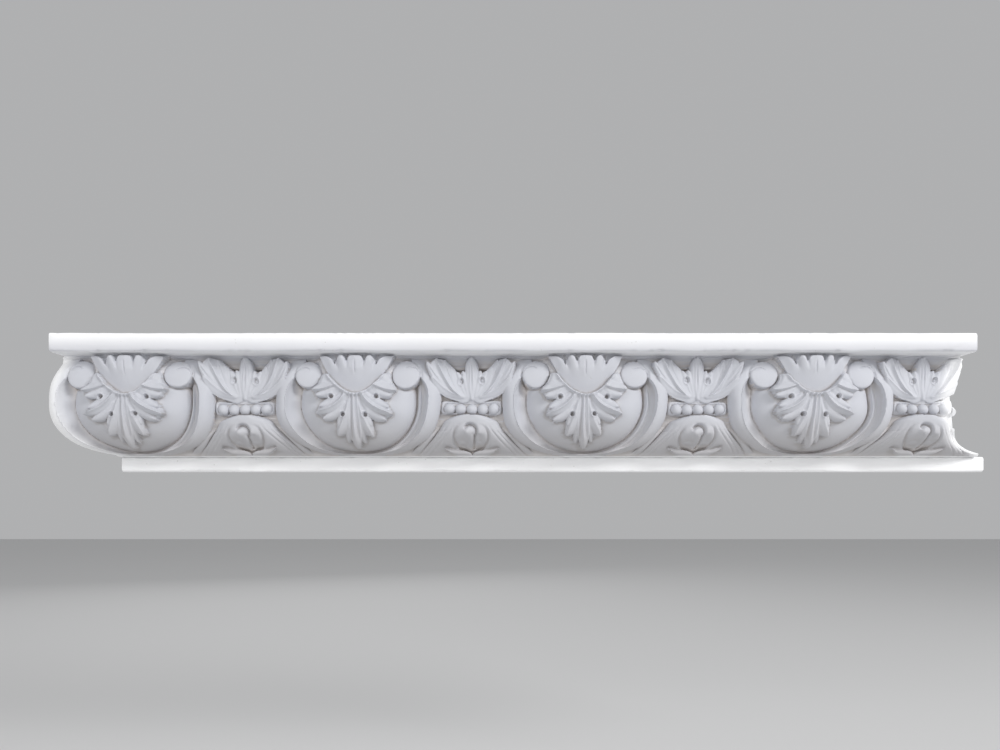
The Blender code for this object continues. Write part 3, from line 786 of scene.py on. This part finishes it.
class Shader:
    """The nodes of one material."""

    def __init__(self, name):
        self.material = bpy.data.materials.new(name)
        self.material.use_nodes = True
        self.tree = self.material.node_tree
        self.tree.nodes.clear()

    def node(self, kind, settings=None, sockets=None, output=0):
        """Adds a node, sets its settings, then its sockets by value or link, and gives one output."""
        made = self.tree.nodes.new(kind)
        for name, value in (settings or {}).items():
            setattr(made, name, value)
        for name, value in (sockets or {}).items():
            if isinstance(value, Number):
                self.tree.links.new(value.socket, made.inputs[name])
            else:
                made.inputs[name].default_value = value
        return Number(self, made.outputs[output]) if made.outputs else made

    def math(self, operation, a, b):
        return self.node("ShaderNodeMath", {"operation": operation}, {0: a, 1: b})

    def mix(self, factor, a, b):
        """A colour between two."""
        return self.node("ShaderNodeMix", {"data_type": "RGBA"}, {"Factor": factor, 6: a, 7: b}, 2)

    def noise(self, place, scale, detail=2.0, rough=0.5):
        sockets = {"Vector": place, "Scale": scale, "Detail": detail, "Roughness": rough}
        return self.node("ShaderNodeTexNoise", {}, sockets, "Fac")

    def voronoi(self, place, scale):
        return self.node("ShaderNodeTexVoronoi", {}, {"Vector": place, "Scale": scale}, "Distance")

    def coordinate(self, place, axis):
        return self.node("ShaderNodeSeparateXYZ", {}, {"Vector": place}, axis)

    def stored(self, name):
        """A value that the mesh stores for each point."""
        return self.node("ShaderNodeAttribute", {"attribute_name": name}, {}, "Fac")


def plaster(look, sizes):
    """Cast plaster: chalky white, with painted shade greying the carving and more so at its foot and at the
    foot of the top fillet, painted bounce light lightening and warming its wide recesses, painted shade
    darkening its narrow ones and its air holes, and a painted highlight on the band's cut ends; with
    clouding, fine grain, faint brush drag along the fillets, and scattered air holes."""
    shader = Shader("cast plaster")
    place = shader.node("ShaderNodeTexCoord", {}, {}, "Object")
    height = shader.coordinate(place, "Z")
    towards_wall = shader.coordinate(place, "Y")
    carved = shader.stored("carved")
    recess = shader.stored("recess")
    crevice = shader.stored("crevice")
    rim = shader.stored("rim")
    clouds = shader.noise(place, CLOUD_SCALE, 3)
    dents = shader.noise(place, DENT_SCALE, 2)
    grain = shader.noise(place, GRAIN_SCALE, 2)
    drawn_out = shader.node("ShaderNodeVectorMath", {"operation": "MULTIPLY"}, {0: place, 1: (0.06, 1, 1)})
    drag = shader.noise(drawn_out, DRAG_SCALE, 2)
    holes = 1 - shader.voronoi(place, HOLE_SCALE).above(0.05, 0.17)
    holes = holes * shader.noise(place, HOLE_PATCH_SCALE, 1).above(0.58, 0.66)
    middle = (sizes.soffit + sizes.band_low) / 2
    off_middle = shader.math("ABSOLUTE", height - middle, 0.0)
    reach = (sizes.soffit - sizes.band_low) / 2
    inside, past = FILLET_BLEND
    # Painted shade: the carved band is coloured greyer than the fillets and the wall face, though all are one
    # white plaster
    fillets = 1 - carved * (1 - off_middle.above(reach - inside, reach + past))
    # Painted shade: the carving is coloured darker towards the band's foot
    lower = 1 - height.above(sizes.band_low, middle)
    colour = shader.mix(lower * look.lower_shade_strength, (*look.carving, 1), (*look.lower, 1))
    # Painted bounce light: the wide recesses are coloured lighter and warmer than the carving
    colour = shader.mix(recess.above(0.1, 1.0) * 0.9, colour, (*look.recess, 1))
    # Painted shade: the narrow crevices are coloured darker, less so just under the soffit
    deep, shallow = CREVICE_FADE
    under_soffit = height.above(sizes.soffit - deep, sizes.soffit - shallow)
    crevice_shade_amount = crevice.above(0.15, 1.0) * look.crevice_shade_strength * (1 - under_soffit * 0.8)
    colour = shader.mix(crevice_shade_amount, colour, (*look.crevice, 1))
    # Painted shade: the top fillet's front is coloured greyer towards its foot
    shaded = 1 - height.above(sizes.soffit, sizes.top)
    shaded = shaded * height.above(sizes.soffit, sizes.soffit + inside)
    shaded = shaded * (1 - towards_wall.above(*SHADE_FADE))
    top = shader.mix(shaded, (*look.fillet, 1), (*look.fillet_low_shade, 1))
    colour = shader.mix(fillets, colour, top)
    # Painted highlight: near its cut ends the band is coloured the fillets' white
    colour = shader.mix(rim.above(0.0, 0.9), colour, (*look.fillet, 1))
    colour = shader.mix(clouds.above(0.35, 0.75) * 0.08, colour, (*look.cloud_and_hole_shade, 1))
    # Painted shade in the air holes: they are coloured with the clouding colour
    colour = shader.mix(holes * 0.5, colour, (*look.cloud_and_hole_shade, 1))
    relief = dents * 0.9 + grain * 0.12 + drag * 0.2 * fillets - holes * 1.0 + clouds * 0.3
    sockets = {"Strength": look.bump, "Distance": BUMP_DEPTH, "Height": relief}
    bump = shader.node("ShaderNodeBump", {}, sockets, "Normal")
    rough = clouds * 0.12 + look.roughness
    surface = shader.node(
        "ShaderNodeBsdfPrincipled", {},
        {"Base Color": colour, "Roughness": rough, "Normal": bump, "Specular IOR Level": 0.3}, "BSDF",
    )
    shader.node("ShaderNodeOutputMaterial", {}, {"Surface": surface})
    return shader.material


def stage_paint(look):
    """The floor's plain pale paint, with faint clouds."""
    shader = Shader("pale floor")
    place = shader.node("ShaderNodeTexCoord", {}, {}, "Object")
    clouds = shader.noise(place, 2, 2)
    colour = shader.mix(clouds * 0.04, (*look.floor, 1), (*(0.9 * c for c in look.floor), 1))
    surface = shader.node("ShaderNodeBsdfPrincipled", {}, {"Base Color": colour, "Roughness": 0.9}, "BSDF")
    shader.node("ShaderNodeOutputMaterial", {}, {"Surface": surface})
    return shader.material


class CorniceSizes(bpy.types.PropertyGroup):
    """Sizes of the casting that the frame doesn't give"""

    repeats: bpy.props.IntProperty(name="Repeats", description="Eggs in one length", default=4, min=1)
    top_fillet: bpy.props.FloatProperty(
        name="Top fillet", description="Height of the top fillet", default=0.0204, unit="LENGTH"
    )
    bottom_fillet: bpy.props.FloatProperty(
        name="Bottom fillet", description="Height of the bottom fillet", default=0.0175, unit="LENGTH"
    )
    bottom_projection: bpy.props.FloatProperty(
        name="Bottom projection", description="Reach of the bottom fillet from the wall", default=FOOT * MM,
        unit="LENGTH",
    )
    edge_round: bpy.props.FloatProperty(
        name="Edge rounding", description="Radius of the fillets' front edges", default=0.0011, unit="LENGTH"
    )
    joint_gap: bpy.props.FloatProperty(
        name="Joint gap", description="Clearance to the next length", default=0.001, unit="LENGTH"
    )
    fillet_steps: bpy.props.IntProperty(
        name="Fillet steps", description="Stations along a fillet", default=520, min=2
    )
    chips: bpy.props.IntProperty(
        name="Chips", description="Chips on each edge of a fillet", default=26, min=0
    )
    mesh_step: bpy.props.FloatProperty(
        name="Mesh step", description="Spacing of the carving's grid", default=0.0006, unit="LENGTH"
    )
    triangles: bpy.props.IntProperty(
        name="Triangles", description="Triangles kept in the whole casting", default=192000, min=1000
    )


def colour_property(name, description, default):
    return bpy.props.FloatVectorProperty(
        name=name, description=description, default=default, subtype="COLOR", size=3, min=0, max=1
    )


class PlasterLook(bpy.types.PropertyGroup):
    """Colours and finish of the plaster, with the colours of its painted shade, bounce light and highlight"""

    fillet: colour_property("Fillet", "Colour of the plain fillets", (0.97, 0.972, 0.98))
    # Painted shade: the carved band's colour is greyer than the fillets' white
    carving: colour_property("Carving", "Colour of the carved band", (0.55, 0.56, 0.602))
    # Painted shade at the foot of the top fillet's front
    fillet_low_shade: colour_property("Fillet, low", "Colour at the foot of the top fillet", (0.64, 0.645, 0.68))
    # Painted shade: darker carving towards the band's foot, and how strong it is
    lower: colour_property("Lower carving", "Colour at the foot of the carved band", (0.50, 0.49, 0.50))
    lower_shade_strength: bpy.props.FloatProperty(
        name="Lower tint", description="How much the foot of the band is greyed", default=0.85,
        subtype="FACTOR",
    )
    # Painted bounce light in the wide recesses
    recess: colour_property("Recess", "Colour in the wide recesses", (0.97, 0.92, 0.89))
    # Painted shade in the narrow crevices
    crevice: colour_property("Crevice", "Colour in the narrow crevices", (0.36, 0.335, 0.32))
    # Colour of the clouding, also the painted shade in the air holes
    cloud_and_hole_shade: colour_property("Clouding", "Colour of the faint clouds", (0.52, 0.51, 0.50))
    # How strong the painted shade in the crevices is
    crevice_shade_strength: bpy.props.FloatProperty(
        name="Crevice tint", description="How much the crevices are tinted", default=0.5, subtype="FACTOR"
    )
    roughness: bpy.props.FloatProperty(
        name="Roughness", description="Least roughness of the plaster", default=0.68, subtype="FACTOR"
    )
    bump: bpy.props.FloatProperty(
        name="Bump", description="Strength of the grain and holes", default=0.35, subtype="FACTOR"
    )


class StageLook(bpy.types.PropertyGroup):
    """Camera, lights and floor"""

    floor: colour_property("Floor", "Colour of the floor", (0.66, 0.66, 0.66))
    backdrop: colour_property("Sky colour", "Colour of the even light", (0.72, 0.725, 0.735))
    floor_drop: bpy.props.FloatProperty(
        name="Floor drop", description="Height of the moulding's middle over the floor", default=0.5,
        unit="LENGTH",
    )
    eye_distance: bpy.props.FloatProperty(
        name="Eye distance", description="From the eye to the top fillet's front", default=0.9143,
        unit="LENGTH",
    )
    eye_drop: bpy.props.FloatProperty(
        name="Eye drop", description="From the moulding's underside down to the eye", default=0.021,
        unit="LENGTH",
    )
    lens: bpy.props.FloatProperty(
        name="Lens", description="Focal length for a 36 mm sensor, in millimetres", default=30.6
    )
    shift_x: bpy.props.FloatProperty(name="Shift X", description="Sideways shift of the view", default=-0.013)
    shift_y: bpy.props.FloatProperty(name="Shift Y", description="Upward shift of the view", default=0.115)
    key: bpy.props.FloatProperty(
        name="Key light", description="Power of the upper right light", default=82.0, unit="POWER"
    )
    front: bpy.props.FloatProperty(
        name="Front light", description="Power of the front light", default=21.0, unit="POWER"
    )
    overhead: bpy.props.FloatProperty(
        name="Overhead light", description="Power of the light over the top face", default=8.0, unit="POWER"
    )
    back: bpy.props.FloatProperty(
        name="Back light", description="Power of the light on the wall face", default=7.0, unit="POWER"
    )
    sky: bpy.props.FloatProperty(name="Sky", description="Strength of the even light", default=0.6)


class CORNICE_OT_cast(bpy.types.Operator):
    """Cast the length of cornice as one piece over its solid"""

    bl_idname = "cornice.cast"
    bl_label = "Cast the cornice"

    def execute(self, context):
        chosen = context.scene.cornice_sizes
        sizes = Sizes(chosen)
        band = band_block(sizes, chosen)
        top = fillet_bar("top fillet", sizes.left, sizes.right, sizes.soffit, sizes.top,
                         sizes.top_projection, chosen, 3)
        bottom = fillet_bar("bottom fillet", sizes.foot_left, sizes.foot_left + sizes.length,
                            sizes.underside, sizes.band_low, sizes.bottom_projection, chosen, 8)
        steps = [(top, "UNION"), (bottom, "UNION"), (wall_cutter(sizes), "DIFFERENCE")]
        piece = joined(band, steps, "cast_cornice", chosen.triangles)
        settle(piece, sizes)
        mark_painted_light_masks(piece, sizes)
        piece.data.materials.clear()
        piece.data.materials.append(plaster(context.scene.plaster_look, sizes))
        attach(piece, "root")
        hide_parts(NODE)
        return {"FINISHED"}


def area_light(name, place, aim, size, power):
    """A rectangular light at a place, facing another."""
    data = bpy.data.lights.new(name, "AREA")
    data.shape = "RECTANGLE"
    data.size, data.size_y = size
    data.energy = power
    lamp = bpy.data.objects.new(name, data)
    bpy.context.scene.collection.objects.link(lamp)
    way = np.array(aim, float) - np.array(place, float)
    tilt = math.acos(-way[2] / np.linalg.norm(way))
    lamp.location = place
    lamp.rotation_euler = (tilt, 0, math.atan2(way[1], way[0]) - math.pi / 2)


class CORNICE_OT_stage(bpy.types.Operator):
    """Set up the floor, the lights and the camera"""

    bl_idname = "cornice.stage"
    bl_label = "Set the stage"

    def execute(self, context):
        look = context.scene.stage_look
        corners = np.array([(-1, -1, 0), (1, -1, 0), (1, 1, 0), (-1, 1, 0)])
        points = FLOOR_REACH * corners - [0, 0, look.floor_drop]
        floor = object_of(mesh_from("floor", points, np.array([(0, 1, 2, 3)]), []))
        floor.data.materials.append(stage_paint(look))
        for name, place, aim, size, power in LIGHTS:
            area_light(name, place, aim, size, getattr(look, power))
        world = bpy.data.worlds.new("studio")
        context.scene.world = world
        world.use_nodes = True
        background = world.node_tree.nodes["Background"]
        background.inputs["Color"].default_value = (*look.backdrop, 1)
        background.inputs["Strength"].default_value = look.sky
        lens = bpy.data.cameras.new("camera")
        lens.lens = look.lens
        lens.shift_x = look.shift_x
        lens.shift_y = look.shift_y
        camera = bpy.data.objects.new("camera", lens)
        camera.location = (0, LOW[1] - look.eye_distance, LOW[2] - look.eye_drop)
        camera.rotation_euler = (math.radians(90), 0, 0)
        context.scene.collection.objects.link(camera)
        context.scene.camera = camera
        context.scene.view_settings.view_transform = "Standard"
        return {"FINISHED"}


class CORNICE_PT_panel(bpy.types.Panel):
    """Shows the operators and their settings"""

    bl_idname = "CORNICE_PT_panel"
    bl_label = "Plaster cornice"
    bl_space_type = "VIEW_3D"
    bl_region_type = "UI"
    bl_category = "Cornice"

    def draw(self, context):
        for operator, groups in PANEL_ROWS.items():
            self.layout.operator(operator)
            for group in groups:
                settings = getattr(context.scene, group)
                for name in type(settings).__annotations__:
                    self.layout.prop(settings, name)


PANEL_ROWS = {"cornice.cast": ("cornice_sizes", "plaster_look"), "cornice.stage": ("stage_look",)}
GROUPS = {"cornice_sizes": CorniceSizes, "plaster_look": PlasterLook, "stage_look": StageLook}
CLASSES = [*GROUPS.values(), CORNICE_OT_cast, CORNICE_OT_stage, CORNICE_PT_panel]


def register():
    for made in CLASSES:
        bpy.utils.register_class(made)
    for name, group in GROUPS.items():
        setattr(bpy.types.Scene, name, bpy.props.PointerProperty(type=group))


def unregister():
    for name in GROUPS:
        delattr(bpy.types.Scene, name)
    for made in reversed(CLASSES):
        bpy.utils.unregister_class(made)


def main():
    register()
    bpy.ops.cornice.stage()
    bpy.ops.cornice.cast()


if __name__ == "__main__":
    main()
